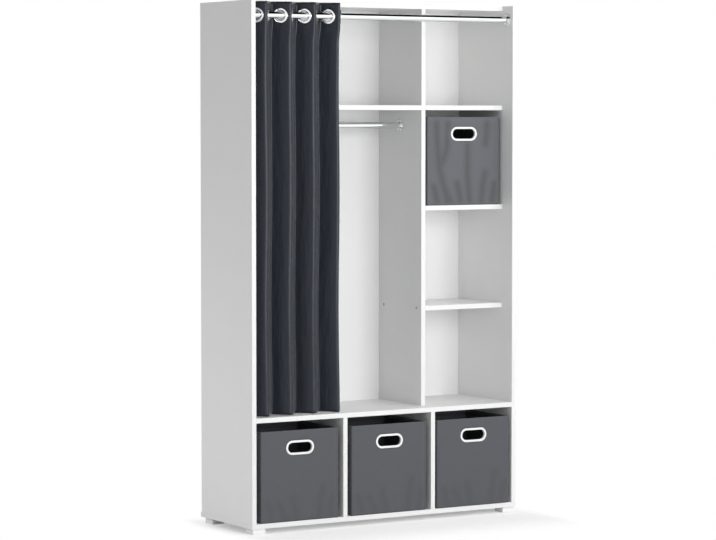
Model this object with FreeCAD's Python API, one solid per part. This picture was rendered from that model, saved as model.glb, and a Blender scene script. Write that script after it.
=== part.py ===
import FreeCAD, Part
import math
import os

# An open wardrobe of white faced chipboard: a hanging bay with a hat shelf, a shelf column at its
# right, three floor cells, a curtain on eyelets along a chromed rod, and four fabric storage boxes.
# Frame: +X to the right seen from the front, +Y to the back, +Z up. The origin is on the floor,
# under the middle of the base panel. All sizes are in millimetres.

Vector = FreeCAD.Vector
RIGHT = Vector(1, 0, 0)
LEFT = Vector(-1, 0, 0)
FRONT = Vector(0, -1, 0)
UP = Vector(0, 0, 1)
DOWN = Vector(0, 0, -1)
QUARTER_TURN = 90
FULL_TURN = 360

# Carcass
board = 16.0                 # thickness of every chipboard panel
cell_width = 328.0           # clear width of the left and the middle floor cell
column_width = 312.0         # clear width of the shelf column
floor_cell_height = 328.0    # clear height of the floor cells
column_cell_height = 321.0   # clear height of each cell of the shelf column
column_cells = 4
side_depth = 345.0           # front to back of the side panels
base_overhang = 6.0          # base panel behind the side panels
curtain_setback = 62.0       # top panel, upper divider and upper shelves stay this far back
back_thickness = 3.0         # hardboard
back_inset = 11.0            # side panel behind the hardboard
back_seam = 0.4              # gap between the two hardboard sheets
groove_depth = 6.0           # groove in the side panels that takes the hardboard
groove_play = 0.2
foot_height = 17.5
foot_width = 48.0
foot_depth = 50.0
foot_round = 4.0
foot_side_inset = 3.0
foot_front_inset = 1.0
foot_back_inset = 26.0
foot_peg_radius = 4.0
foot_peg_height = 11.0

# Fasteners
hole_play = 0.05             # radial play of a fastener in its hole
end_play = 0.5               # free depth at the end of a blind hole
cut_overrun = 1.0            # how far a cutter stands out of the face that it starts from
dowel_radius = 4.0
dowel_in_face = 11.0
dowel_in_edge = 19.0
dowel_inset = 32.0           # first and last dowel from the front and back of a joint
joint_stagger = 16.0         # shift of the joints on the far face of a shared panel
cam_inset = 64.0             # first and last cam from the front and back of a joint
cam_reach = 34.0             # cam axis from the end of its shelf
cam_radius = 7.5
cam_height = 12.4
cam_slot_width = 1.6
cam_slot_length = 9.0
cam_slot_depth = 1.8
bolt_radius = 3.5
bolt_thread_radius = 2.5
bolt_thread_length = 10.5
screw_inset = 31.0           # panel screws from the front and back of a joint
screw_length = 50.0
screw_radius = 3.5
screw_head_radius = 5.0
screw_head_height = 2.5
screw_key_width = 4.0        # hexagon socket, across flats
screw_key_depth = 3.0
nail_radius = 0.7
nail_length = 20.0
nail_head_radius = 1.8
nail_head_height = 0.6
nail_pitch = 240.0
nail_margin = 40.0
nail_edge_share = 0.25       # nails in the upper divider, from its middle, of its thickness

# Curtain rod and hanging rail, chromed tubes in flanged sockets
rod_radius = 11.0
rod_setback = 32.0           # rod axis behind the front plane
rod_drop = 31.0              # rod axis below the top panel
rail_radius = 11.0
rail_drop = 51.0             # rail axis below the hat shelf
tube_wall = 1.0
socket_wall = 2.0            # wall of the collar around the tube
socket_collar = 5.5          # collar from the panel
socket_flange = 2.5
socket_flange_width = 7.6    # flange around the collar
socket_chamfer = 0.5
socket_play = 0.1            # radial play of the tube in its socket
socket_screw_radius = 1.6
socket_screw_length = 13.0
socket_screw_head_radius = 2.9
socket_screw_head_height = 1.7
socket_screw_slot_width = 0.9
socket_screw_slot_depth = 0.8

# Curtain
eyelet_count = 8
eyelet_pitch = 44.6          # along the rod, half a fold
fold_radius = 7.0            # bend of the cloth at the front and back of a fold
fold_clearance = 7.5         # folds from the shelves behind them
cloth = 1.2                  # thickness of the cloth
cloth_edge = 2.0             # cloth beyond the first and the last eyelet
curtain_side_gap = 4.0       # first edge of the cloth from the side panel
curtain_header = 44.5        # cloth above the middle of the eyelets
curtain_hem_gap = 4.0        # hem above the long shelf
eyelet_width = 8.0           # face width of the ring
eyelet_crown = 2.6           # height of the ring's crown over the middle of the cloth
eyelet_lip = 1.0             # height of the ring at its bore
eyelet_clearance = 0.4       # ring bore to the sides of the slanting rod
eyelet_hang = 0.3            # ring bore to the shoulders of the rod, on which it hangs
eyelet_web = 2.5             # wall of the ring inside the hole of the cloth
eyelet_play = 0.1            # ring to cloth

# Storage boxes
box_side_gap = 10.0          # box to the panels of the narrower cell
box_headroom = 23.0          # above the box in the lower of the two kinds of cell
box_back_gap = 7.0
box_recess = 3.0             # behind the front edge of the shelf that the box stands on
box_cloth = 1.5
box_corner = 2.5
box_board = 3.0              # cardboard stiffeners
box_board_play = 0.1
box_rim = 2.0                # cloth above the stiffeners
handle_drop = 57.0           # handle's middle below the rim
handle_length = 105.0
handle_height = 47.0
handle_width = 8.5           # face width of the oval ring
handle_flange = 2.4
handle_round = 0.9
handle_sleeve = 1.5
handle_play = 0.1

# Places across the cabinet
width = 2 * cell_width + column_width + 4 * board
left_outer = -width / 2
left_inner = left_outer + board
cell_divider_left = left_inner + cell_width
cell_divider_right = cell_divider_left + board
bay_right = cell_divider_right + cell_width
column_left = bay_right + board
right_inner = column_left + column_width
right_outer = right_inner + board
divider_middle = (bay_right + column_left) / 2

# Places front to back
base_depth = side_depth + base_overhang
front = -base_depth / 2
upper_front = front + curtain_setback
side_back = front + side_depth
back_rear = side_back - back_inset
back_front = back_rear - back_thickness

# Places above the floor
base_bottom = foot_height
base_top = base_bottom + board
long_shelf_bottom = base_top + floor_cell_height
long_shelf_top = long_shelf_bottom + board
column_step = column_cell_height + board
top_bottom = long_shelf_top + column_cells * column_step - board
top = top_bottom + board
column_shelf_bottoms = [long_shelf_top + n * column_step - board for n in range(1, column_cells)]
hat_shelf_bottom = column_shelf_bottoms[-1]

# Rod and rail axes
rod_y = front + rod_setback
rod_z = top_bottom - rod_drop
rail_y = (upper_front + back_front) / 2
rail_z = hat_shelf_bottom - rail_drop

# Folds of the curtain: straight slopes through the eyelets, joined by arcs at the front and the back
fold_reach = curtain_setback - rod_setback - fold_clearance - cloth / 2
quarter_fold = eyelet_pitch / 2
arc_offset = fold_reach - fold_radius
arc_distance = math.hypot(quarter_fold, arc_offset)
slope = math.atan2(arc_offset, quarter_fold) + math.asin(fold_radius / arc_distance)
slope_half_length = math.sqrt(arc_distance ** 2 - fold_radius ** 2)
rod_slant = rod_radius / math.sin(slope)
lip_shift = eyelet_lip / math.tan(slope)
eyelet_bore = rod_slant + lip_shift + eyelet_clearance
eyelet_outer = eyelet_bore + eyelet_width
eyelet_hole = eyelet_bore + eyelet_web + eyelet_play
# A slanting eyelet hangs on the shoulders of the rod, so its drop is the least one found around the rod
eyelet_drop = min(math.sqrt((eyelet_bore - eyelet_hang) ** 2 - (lip_shift + rod_slant * math.cos(angle)) ** 2)
                  - rod_radius * math.sin(angle) for angle in map(math.radians, range(QUARTER_TURN)))
eyelet_z = rod_z - eyelet_drop
end_length = eyelet_outer + cloth_edge
first_eyelet = left_inner + curtain_side_gap + end_length * math.cos(slope) + cloth / 2 * math.sin(slope)
curtain_bottom = long_shelf_top + curtain_hem_gap
curtain_top = eyelet_z + curtain_header

# Storage box, the same for every cell
box_width = min(cell_width, column_width) - 2 * box_side_gap
box_height = min(floor_cell_height, column_cell_height) - box_headroom
box_depth = back_front - upper_front - box_back_gap

panels = {}
cutters = {}
groups = {name: [] for name in ("wooden_dowels", "cam_bolts", "cam_discs", "confirmat_screws",
                                "socket_screws", "back_nails")}
nodes = {}


def block(x0, x1, y0, y1, z0, z1):
    """A box between two corners."""
    return Part.makeBox(x1 - x0, y1 - y0, z1 - z0, Vector(x0, y0, z0))


def placed(shape, point, axis):
    """A shape made along +Z at the origin, set at a point along an axis."""
    shape.Placement = FreeCAD.Placement(point, FreeCAD.Rotation(UP, axis))
    return shape


def peg(radius, start, end):
    """A cylinder along +Z between two heights."""
    return Part.makeCylinder(radius, end - start, Vector(0, 0, start))


def panel(name, *corners):
    panels[name] = block(*corners)
    cutters[name] = []


def drill(name, point, axis, radius, depth):
    """A round hole into a panel from a point on its face."""
    cutters[name].append(placed(peg(radius + hole_play, -cut_overrun, depth + end_play), point, axis))


# Carcass panels
def make_panels():
    panel("base_panel", left_outer, right_outer, front, front + base_depth, base_bottom, base_top)
    panel("left_side_panel", left_outer, left_inner, front, side_back, base_top, top)
    panel("right_side_panel", right_inner, right_outer, front, side_back, base_top, top)
    panel("top_panel", left_inner, right_inner, upper_front, back_front, top_bottom, top)
    panel("long_shelf", left_inner, right_inner, front, back_front, long_shelf_bottom, long_shelf_top)
    panel("floor_divider_left", cell_divider_left, cell_divider_right, front, back_front,
          base_top, long_shelf_bottom)
    panel("floor_divider_right", bay_right, column_left, front, back_front,
          base_top, long_shelf_bottom)
    panel("upper_divider", bay_right, column_left, upper_front, back_front,
          long_shelf_top, top_bottom)
    panel("hat_shelf", left_inner, bay_right, upper_front, back_front,
          hat_shelf_bottom, hat_shelf_bottom + board)
    for name, bottom in zip(("lower", "middle", "upper"), column_shelf_bottoms):
        panel("column_shelf_" + name, column_left, right_inner, upper_front, back_front,
              bottom, bottom + board)
    for name, x0, x1 in (("left_side_panel", left_inner - groove_depth, left_inner + cut_overrun),
                         ("right_side_panel", right_inner - cut_overrun, right_inner + groove_depth)):
        cutters[name].append(block(x0, x1, back_front - groove_play, back_rear + groove_play,
                                   base_top - cut_overrun, top + cut_overrun))


# Hardboard back in two sheets, in the side grooves and nailed to the upper divider
def make_back():
    panel("back_panel_left", left_inner - groove_depth + groove_play, divider_middle - back_seam / 2,
          back_front, back_rear, base_top, top)
    panel("back_panel_right", divider_middle + back_seam / 2, right_inner + groove_depth - groove_play,
          back_front, back_rear, base_top, top)


def nail(sheet, behind, x, z):
    """A thin nail through the hardboard into the rear edge of a panel."""
    shank = peg(nail_radius, 0, nail_length)
    head = peg(nail_head_radius, -nail_head_height, 0)
    point = Vector(x, back_rear, z)
    groups["back_nails"].append(placed(head.fuse(shank), point, FRONT))
    drill(sheet, point, FRONT, nail_radius, back_thickness)
    drill(behind, Vector(x, back_front, z), FRONT, nail_radius, nail_length - back_thickness)


def spread(low, high, pitch):
    """Even places between two limits, about a pitch apart."""
    count = max(1, round((high - low) / pitch))
    return [low + (high - low) * n / count for n in range(count + 1)]


def nail_back():
    edge = board * nail_edge_share
    edges = (("back_panel_left", divider_middle - edge), ("back_panel_right", divider_middle + edge))
    for sheet, x in edges:
        for z in spread(long_shelf_top + nail_margin, top_bottom - nail_margin, nail_pitch):
            nail(sheet, "upper_divider", x, z)
    bays = (("back_panel_left", left_inner, bay_right), ("back_panel_right", column_left, right_inner))
    for sheet, x0, x1 in bays:
        for x in spread(x0 + nail_margin, x1 - nail_margin, nail_pitch):
            nail(sheet, "long_shelf", x, (long_shelf_bottom + long_shelf_top) / 2)
            nail(sheet, "top_panel", x, (top_bottom + top) / 2)


# Joints of the carcass
def dowel(face_panel, edge_panel, point, axis):
    """A beech dowel across a joint, from the face of one panel into the edge of the other."""
    groups["wooden_dowels"].append(placed(peg(dowel_radius, -dowel_in_face, dowel_in_edge), point, axis))
    drill(face_panel, point, -axis, dowel_radius, dowel_in_face)
    drill(edge_panel, point, axis, dowel_radius, dowel_in_edge)


def cam_joint(side, shelf, point, axis):
    """A steel bolt in the side panel and the cam disc that draws it in, under the shelf."""
    thread = peg(bolt_thread_radius, -bolt_thread_length, 0)
    groups["cam_bolts"].append(placed(thread.fuse(peg(bolt_radius, 0, cam_reach)), point, axis))
    drill(side, point, -axis, bolt_thread_radius, bolt_thread_length)
    drill(shelf, point, axis, bolt_radius, cam_reach)
    seat = point + axis * cam_reach + DOWN * (board / 2)
    disc = Part.makeCylinder(cam_radius, cam_height, seat)
    pocket = placed(peg(bolt_radius + hole_play, -cam_reach, end_play), point + axis * cam_reach, axis)
    half_length, half_width = cam_slot_length / 2, cam_slot_width / 2
    slot_bottom, slot_top = seat.z - cut_overrun, seat.z + cam_slot_depth
    cross = [block(seat.x - a, seat.x + a, seat.y - b, seat.y + b, slot_bottom, slot_top)
             for a, b in ((half_length, half_width), (half_width, half_length))]
    groups["cam_discs"].append(disc.cut([pocket] + cross))
    drill(shelf, seat, UP, cam_radius, cam_height)


def hexagon(across_flats, low, high):
    """A six-sided prism along +Z."""
    sides = 6
    step = 2 * math.pi / sides
    radius = across_flats / 2 / math.cos(step / 2)
    corners = [Vector(radius * math.cos(n * step), radius * math.sin(n * step), low) for n in range(sides)]
    return Part.Face(Part.makePolygon(corners + corners[:1])).extrude(UP * (high - low))


def panel_screw(face_panel, edge_panel, point, axis):
    """A countersunk chipboard screw through one panel into the edge of the next."""
    head = Part.makeCone(screw_head_radius, screw_radius, screw_head_height)
    shank = peg(screw_radius, 0, screw_length)
    key = hexagon(screw_key_width, -cut_overrun, screw_key_depth)
    groups["confirmat_screws"].append(placed(head.fuse(shank).cut(key), point, axis))
    drill(face_panel, point, axis, screw_radius, board)
    sink = Part.makeCone(screw_head_radius + hole_play, screw_radius + hole_play, screw_head_height)
    cutters[face_panel].append(placed(sink, point, axis))
    drill(edge_panel, point + axis * board, axis, screw_radius, screw_length - board)


def both_ends(y0, y1, inset):
    return (y0 + inset, y1 - inset)


def join_shelf(shelf, side, x, axis, y0, bottom, stagger=0):
    """Dowels and cams at one end of a shelf."""
    z = bottom + board / 2
    for y in both_ends(y0, back_front, dowel_inset + stagger):
        dowel(side, shelf, Vector(x, y, z), axis)
    for y in both_ends(y0, back_front, cam_inset + stagger):
        cam_joint(side, shelf, Vector(x, y, z), axis)


def join_carcass():
    join_shelf("long_shelf", "left_side_panel", left_inner, RIGHT, front, long_shelf_bottom)
    join_shelf("long_shelf", "right_side_panel", right_inner, LEFT, front, long_shelf_bottom)
    join_shelf("top_panel", "left_side_panel", left_inner, RIGHT, upper_front, top_bottom)
    join_shelf("top_panel", "right_side_panel", right_inner, LEFT, upper_front, top_bottom)
    join_shelf("hat_shelf", "left_side_panel", left_inner, RIGHT, upper_front, hat_shelf_bottom)
    join_shelf("hat_shelf", "upper_divider", bay_right, LEFT, upper_front, hat_shelf_bottom)
    for name, bottom in (("middle", column_shelf_bottoms[1]), ("upper", column_shelf_bottoms[2])):
        shelf = "column_shelf_" + name
        join_shelf(shelf, "upper_divider", column_left, RIGHT, upper_front, bottom, joint_stagger)
        join_shelf(shelf, "right_side_panel", right_inner, LEFT, upper_front, bottom)
    # The lowest column shelf is held by panel screws, whose heads show in the hanging bay
    z = column_shelf_bottoms[0] + board / 2
    for y in both_ends(upper_front, back_front, screw_inset):
        panel_screw("upper_divider", "column_shelf_lower", Vector(bay_right, y, z), RIGHT)
        panel_screw("right_side_panel", "column_shelf_lower", Vector(right_outer, y, z), LEFT)
    # Upright panels stand on the base panel, screwed from below
    uprights = (("left_side_panel", left_outer), ("floor_divider_left", cell_divider_left),
                ("floor_divider_right", bay_right), ("right_side_panel", right_inner))
    for upright, x0 in uprights:
        x = x0 + board / 2
        for y in both_ends(front, back_front, cam_inset):
            panel_screw("base_panel", upright, Vector(x, y, base_bottom), UP)
        for y in both_ends(front, back_front, cam_inset + dowel_inset):
            dowel("base_panel", upright, Vector(x, y, base_top), UP)
    # Dowels locate the dividers under and on the long shelf, and under the top panel
    for divider, x0 in (("floor_divider_left", cell_divider_left), ("floor_divider_right", bay_right)):
        for y in both_ends(front, back_front, dowel_inset):
            dowel("long_shelf", divider, Vector(x0 + board / 2, y, long_shelf_bottom), DOWN)
    for y in both_ends(upper_front, back_front, cam_inset):
        dowel("long_shelf", "upper_divider", Vector(divider_middle, y, long_shelf_top), UP)
        dowel("top_panel", "upper_divider", Vector(divider_middle, y, top_bottom), DOWN)


# Plastic feet, pressed into the base panel with a peg
def make_feet():
    for side, x0 in (("left", left_outer + foot_side_inset),
                     ("right", right_outer - foot_side_inset - foot_width)):
        for end, y0 in (("front", front + foot_front_inset),
                        ("back", front + base_depth - foot_back_inset - foot_depth)):
            pad = block(x0, x0 + foot_width, y0, y0 + foot_depth, 0, foot_height)
            upright_edges = [e for e in pad.Edges if e.BoundBox.ZLength > foot_height / 2]
            pad = pad.makeFillet(foot_round, upright_edges)
            middle = Vector(x0 + foot_width / 2, y0 + foot_depth / 2, base_bottom)
            stud = placed(peg(foot_peg_radius, 0, foot_peg_height), middle, UP)
            nodes["foot_%s_%s" % (end, side)] = pad.fuse(stud).removeSplitter()
            drill("base_panel", middle, UP, foot_peg_radius, foot_peg_height)


# Chromed tubes and their screwed sockets
def tube(radius, x0, x1, y, z):
    """A round tube along +X."""
    outer = peg(radius, 0, x1 - x0)
    bore = peg(radius - tube_wall, -cut_overrun, x1 - x0 + cut_overrun)
    return placed(outer.cut(bore), Vector(x0, y, z), RIGHT)


def socket_screw(face, axis):
    """A small countersunk screw with a slot, from the flange into the panel."""
    shank = peg(socket_screw_radius, 0, socket_screw_length)
    head = Part.makeCone(socket_screw_head_radius, socket_screw_radius, socket_screw_head_height)
    slot = Part.makeBox(2 * socket_screw_head_radius, socket_screw_slot_width,
                        socket_screw_slot_depth + cut_overrun,
                        Vector(-socket_screw_head_radius, -socket_screw_slot_width / 2, -cut_overrun))
    return placed(shank.fuse(head).cut(slot), face, axis)


def socket(radius, side, point, axis):
    """A flanged socket on a panel, with one screw above the tube and one below it."""
    bore = radius + socket_play
    collar = bore + socket_wall
    rim = collar + socket_flange_width
    outline = ((bore, 0), (rim, 0), (rim, socket_flange - socket_chamfer),
               (rim - socket_chamfer, socket_flange), (collar, socket_flange),
               (collar, socket_collar - socket_chamfer), (collar - socket_chamfer, socket_collar),
               (bore, socket_collar), (bore, 0))
    profile = Part.Face(Part.makePolygon([Vector(r, 0, h) for r, h in outline]))
    body = placed(profile.revolve(Vector(0, 0, 0), UP, FULL_TURN), point, axis)
    for up_or_down in (UP, DOWN):
        offset = up_or_down * ((collar + rim) / 2)
        face = point + offset + axis * socket_flange
        groups["socket_screws"].append(socket_screw(face, -axis))
        sink = Part.makeCone(socket_screw_head_radius + hole_play, socket_screw_radius + hole_play,
                             socket_screw_head_height)
        hole = peg(socket_screw_radius + hole_play, -cut_overrun, socket_flange + cut_overrun)
        body = body.cut([placed(sink, face, -axis), placed(hole, face, -axis)])
        drill(side, point + offset, -axis, socket_screw_radius, socket_screw_length - socket_flange)
    return body


def make_rods():
    rods = (("curtain_rod", rod_radius, right_inner, "right_side_panel", rod_y, rod_z),
            ("hanging_rail", rail_radius, bay_right, "upper_divider", rail_y, rail_z))
    for name, radius, x1, far_panel, y, z in rods:
        nodes[name] = tube(radius, left_inner + end_play, x1 - end_play, y, z)
        nodes[name + "_socket_left"] = socket(radius, "left_side_panel", Vector(left_inner, y, z), RIGHT)
        nodes[name + "_socket_right"] = socket(radius, far_panel, Vector(x1, y, z), LEFT)


# Curtain: a cloth that goes to and fro through the line of the rod, with an eyelet at each pass
def pass_frame(n):
    """Middle of a pass, the way of the cloth from left to right, its front normal, and its sign in Y."""
    sign = -1 if n % 2 == 0 else 1
    middle = Vector(first_eyelet + n * eyelet_pitch, rod_y, 0)
    along = Vector(math.cos(slope), sign * math.sin(slope), 0)
    facing = Vector(sign * math.sin(slope), -math.cos(slope), 0)
    return middle, along, facing, sign


def pass_ends(n, offset):
    """Both ends of the straight part of a pass, at an offset to the front from the middle of the cloth."""
    middle, along, facing, sign = pass_frame(n)
    before = end_length if n == 0 else slope_half_length
    after = end_length if n == eyelet_count - 1 else slope_half_length
    return middle - along * before + facing * offset, middle + along * after + facing * offset


def cloth_side(offset):
    """Edges of one face of the cloth in plan, straight passes joined by arcs."""
    edges = []
    for n in range(eyelet_count):
        start, end = pass_ends(n, offset)
        edges.append(Part.LineSegment(start, end).toShape())
        if n < eyelet_count - 1:
            middle, along, facing, sign = pass_frame(n)
            tip = middle + Vector(quarter_fold, sign * fold_reach - offset, 0)
            edges.append(Part.Arc(end, tip, pass_ends(n + 1, offset)[0]).toShape())
    return edges


def eyelet_half(sign):
    """One of the two snapped halves of an eyelet, turned about +Z, the front one with sign 1."""
    seat = sign * (cloth / 2 + eyelet_play)
    crown_radius = (eyelet_bore + eyelet_outer) / 2
    web = eyelet_hole - eyelet_play
    corner = [Vector(eyelet_bore, 0, 0), Vector(eyelet_bore, 0, sign * eyelet_lip),
              Vector(eyelet_outer, 0, seat), Vector(web, 0, seat), Vector(web, 0, 0)]
    crown = Part.Arc(corner[1], Vector(crown_radius, 0, sign * eyelet_crown), corner[2]).toShape()
    lines = [Part.LineSegment(corner[a], corner[b]).toShape() for a, b in ((0, 1), (2, 3), (3, 4), (4, 0))]
    profile = Part.Face(Part.Wire(Part.__sortEdges__(lines + [crown])))
    return profile.revolve(Vector(0, 0, 0), UP, FULL_TURN)


def make_curtain():
    front_face, back_face = cloth_side(cloth / 2), cloth_side(-cloth / 2)
    ends = [Part.LineSegment(front_face[k].Vertexes[k].Point, back_face[k].Vertexes[k].Point).toShape()
            for k in (0, -1)]
    plan = Part.Face(Part.Wire(Part.__sortEdges__(front_face + back_face + ends)))
    sheet = plan.extrude(UP * (curtain_top - curtain_bottom))
    sheet.translate(UP * curtain_bottom)
    holes, halves = [], []
    for n in range(eyelet_count):
        middle, along, facing, sign = pass_frame(n)
        middle = middle + UP * eyelet_z
        holes.append(placed(peg(eyelet_hole, -eyelet_crown, eyelet_crown), middle, facing))
        halves += [placed(eyelet_half(side), middle, facing) for side in (1, -1)]
    nodes["curtain_cloth"] = sheet.cut(holes)
    nodes["curtain_eyelets"] = Part.makeCompound(halves)


# Storage boxes: a cloth cover, cardboard stiffeners, a loose base board and an oval handle ring
def oval(length, height, low, high):
    """A prism with round ends along +Z, its long side along +X."""
    radius = height / 2
    x = length / 2 - radius
    top_line = Part.LineSegment(Vector(-x, radius, low), Vector(x, radius, low)).toShape()
    bottom_line = Part.LineSegment(Vector(x, -radius, low), Vector(-x, -radius, low)).toShape()
    ends = [Part.Arc(Vector(sx * x, radius, low), Vector(sx * (x + radius), 0, low),
                     Vector(sx * x, -radius, low)).toShape() for sx in (1, -1)]
    wire = Part.Wire(Part.__sortEdges__([top_line, bottom_line] + ends))
    return Part.Face(wire).extrude(UP * (high - low))


def make_handle(middle):
    """Two snapped halves: a face ring with a sleeve through the wall, and a ring behind it."""
    hole_length, hole_height = handle_length - 2 * handle_width, handle_height - 2 * handle_width
    wall = box_cloth + box_board_play + box_board
    sleeve_end = -(wall + handle_flange)
    face = oval(handle_length, handle_height, 0, handle_flange)
    hole = oval(hole_length, hole_height, sleeve_end - cut_overrun, handle_flange + cut_overrun)
    face = face.cut(hole)
    rims = [e for e in face.Edges if e.BoundBox.ZMin > handle_flange / 2]
    face = face.makeFillet(handle_round, rims)
    sleeve_length, sleeve_height = hole_length + 2 * handle_sleeve, hole_height + 2 * handle_sleeve
    sleeve = oval(sleeve_length, sleeve_height, sleeve_end, 0).cut(hole)
    rear = oval(handle_length, handle_height, sleeve_end, -wall)
    rear = rear.cut(oval(sleeve_length + 2 * handle_play, sleeve_height + 2 * handle_play,
                         sleeve_end - cut_overrun, cut_overrun))
    face = face.fuse(sleeve).removeSplitter()
    return Part.makeCompound([placed(half, middle, FRONT) for half in (face, rear)])


def make_box(name, x_middle, y0, z0):
    x0, x1 = x_middle - box_width / 2, x_middle + box_width / 2
    y1, z1 = y0 + box_depth, z0 + box_height
    middle = Vector(x_middle, y0, z1 - handle_drop)
    hole_length = handle_length - 2 * handle_width + 2 * (handle_sleeve + handle_play)
    hole_height = handle_height - 2 * handle_width + 2 * (handle_sleeve + handle_play)
    reach = box_cloth + box_board_play + box_board + cut_overrun
    slot = placed(oval(hole_length, hole_height, -reach, cut_overrun), middle, FRONT)

    cover = block(x0, x1, y0, y1, z0, z1)
    cover = cover.makeFillet(box_corner, [e for e in cover.Edges if e.BoundBox.ZLength > box_height / 2])
    inside = block(x0 + box_cloth, x1 - box_cloth, y0 + box_cloth, y1 - box_cloth,
                   z0 + box_cloth, z1 + cut_overrun)
    nodes[name + "_cover"] = cover.cut([inside, slot])

    skin = box_cloth + box_board_play
    bx0, bx1, by0, by1 = x0 + skin, x1 - skin, y0 + skin, y1 - skin
    bz0, bz1 = z0 + skin, z1 - box_rim
    ends = [block(bx0, bx1, by0, by0 + box_board, bz0, bz1).cut(slot),
            block(bx0, bx1, by1 - box_board, by1, bz0, bz1)]
    inner_y0, inner_y1 = by0 + box_board + box_board_play, by1 - box_board - box_board_play
    sides = [block(bx0, bx0 + box_board, inner_y0, inner_y1, bz0, bz1),
             block(bx1 - box_board, bx1, inner_y0, inner_y1, bz0, bz1)]
    nodes[name + "_wall_boards"] = Part.makeCompound(ends + sides)
    inner_x0, inner_x1 = bx0 + box_board + box_board_play, bx1 - box_board - box_board_play
    nodes[name + "_base_board"] = block(inner_x0, inner_x1, inner_y0, inner_y1, bz0, bz0 + box_board)
    nodes[name + "_handle"] = make_handle(middle)


def make_boxes():
    cells = (("lower_left_box", left_inner, cell_divider_left, front, base_top),
             ("lower_middle_box", cell_divider_right, bay_right, front, base_top),
             ("lower_right_box", column_left, right_inner, front, base_top),
             ("upper_box", column_left, right_inner, upper_front, column_shelf_bottoms[1] + board))
    for name, x0, x1, y0, z0 in cells:
        make_box(name, (x0 + x1) / 2, y0 + box_recess, z0)


def main():
    make_panels()
    make_back()
    nail_back()
    join_carcass()
    make_feet()
    make_rods()
    make_curtain()
    make_boxes()
    for name, solid in panels.items():
        nodes[name] = solid.cut(cutters[name]) if cutters[name] else solid
    for name, pieces in groups.items():
        nodes[name] = Part.makeCompound(pieces)
    os.makedirs("parts", exist_ok=True)
    for name, shape in sorted(nodes.items()):
        shape.exportStep(os.path.join("parts", name + ".step"))
    print(len(nodes), "nodes, slope", round(math.degrees(slope), 2), "degrees, eyelet bore",
          round(2 * eyelet_bore, 2), "first eyelet", round(first_eyelet, 3), "fold reach", fold_reach,
          "rod", round(rod_y, 3), rod_z, "top", top, "box", box_width, box_depth, box_height)


main()
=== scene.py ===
import math

import bmesh
import bpy
from bmesh.types import BMEdge, BMVert
from mathutils import Matrix, Vector, noise


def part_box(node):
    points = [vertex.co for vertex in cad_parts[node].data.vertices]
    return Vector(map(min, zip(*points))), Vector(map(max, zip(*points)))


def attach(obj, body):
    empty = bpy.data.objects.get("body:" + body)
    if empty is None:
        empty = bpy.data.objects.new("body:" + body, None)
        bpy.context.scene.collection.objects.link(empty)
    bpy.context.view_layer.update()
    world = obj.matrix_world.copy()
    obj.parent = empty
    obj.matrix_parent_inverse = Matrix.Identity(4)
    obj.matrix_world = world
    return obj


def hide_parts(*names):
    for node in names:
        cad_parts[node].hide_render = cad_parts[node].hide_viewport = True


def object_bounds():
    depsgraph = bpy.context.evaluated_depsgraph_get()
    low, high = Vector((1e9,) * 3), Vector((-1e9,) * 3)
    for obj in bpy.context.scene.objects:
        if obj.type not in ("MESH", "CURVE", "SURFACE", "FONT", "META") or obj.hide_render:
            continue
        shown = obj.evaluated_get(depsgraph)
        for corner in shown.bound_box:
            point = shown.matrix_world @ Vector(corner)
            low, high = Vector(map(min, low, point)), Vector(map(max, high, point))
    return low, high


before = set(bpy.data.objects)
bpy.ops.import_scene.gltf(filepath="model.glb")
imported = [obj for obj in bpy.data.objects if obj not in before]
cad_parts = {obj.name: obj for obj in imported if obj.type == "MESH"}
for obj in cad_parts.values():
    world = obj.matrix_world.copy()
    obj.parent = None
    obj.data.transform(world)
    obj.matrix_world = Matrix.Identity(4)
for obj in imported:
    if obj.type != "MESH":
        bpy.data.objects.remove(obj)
cad_low, cad_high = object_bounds()


# Carcass boards. Chipboard faced on both sides with white melamine paper, sawn to size and banded
# on its edges with thin white strip that is scraped to a small round. The rear edges stay raw.
# Cams, dowels and panel screws hold the boards together.
MM = 0.001
board_nodes = ("base_panel", "left_side_panel", "right_side_panel", "top_panel", "long_shelf",
               "floor_divider_left", "floor_divider_right", "upper_divider", "hat_shelf",
               "column_shelf_lower", "column_shelf_middle", "column_shelf_upper")
band_round = 0.8 * MM
weld = 0.001 * MM
side_play = 0.01 * MM


def linear(hex_colour):
    """An sRGB hex colour as linear red, green, blue and alpha."""
    shares = [int(hex_colour[start:start + 2], 16) / 255 for start in (1, 3, 5)]
    colour = [share / 12.92 if share <= 0.04045 else ((share + 0.055) / 1.055) ** 2.4 for share in shares]
    return colour + [1.0]


def add(tree, kind, inputs=None, **settings):
    """Adds a node, or takes one that is there, with its settings and what feeds its inputs."""
    made = tree.nodes.get(kind) or tree.nodes.new(kind)
    for name, value in settings.items():
        setattr(made, name, value)
    for name, value in (inputs or {}).items():
        if isinstance(value, bpy.types.NodeSocket):
            tree.links.new(value, made.inputs[name])
        else:
            made.inputs[name].default_value = value
    return made


def start_material(name):
    """A new material with its node tree, and the object's own coordinates in metres."""
    made = bpy.data.materials.new(name)
    made.use_nodes = True
    tree = made.node_tree
    return made, tree, add(tree, "ShaderNodeTexCoord").outputs["Object"]


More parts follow.
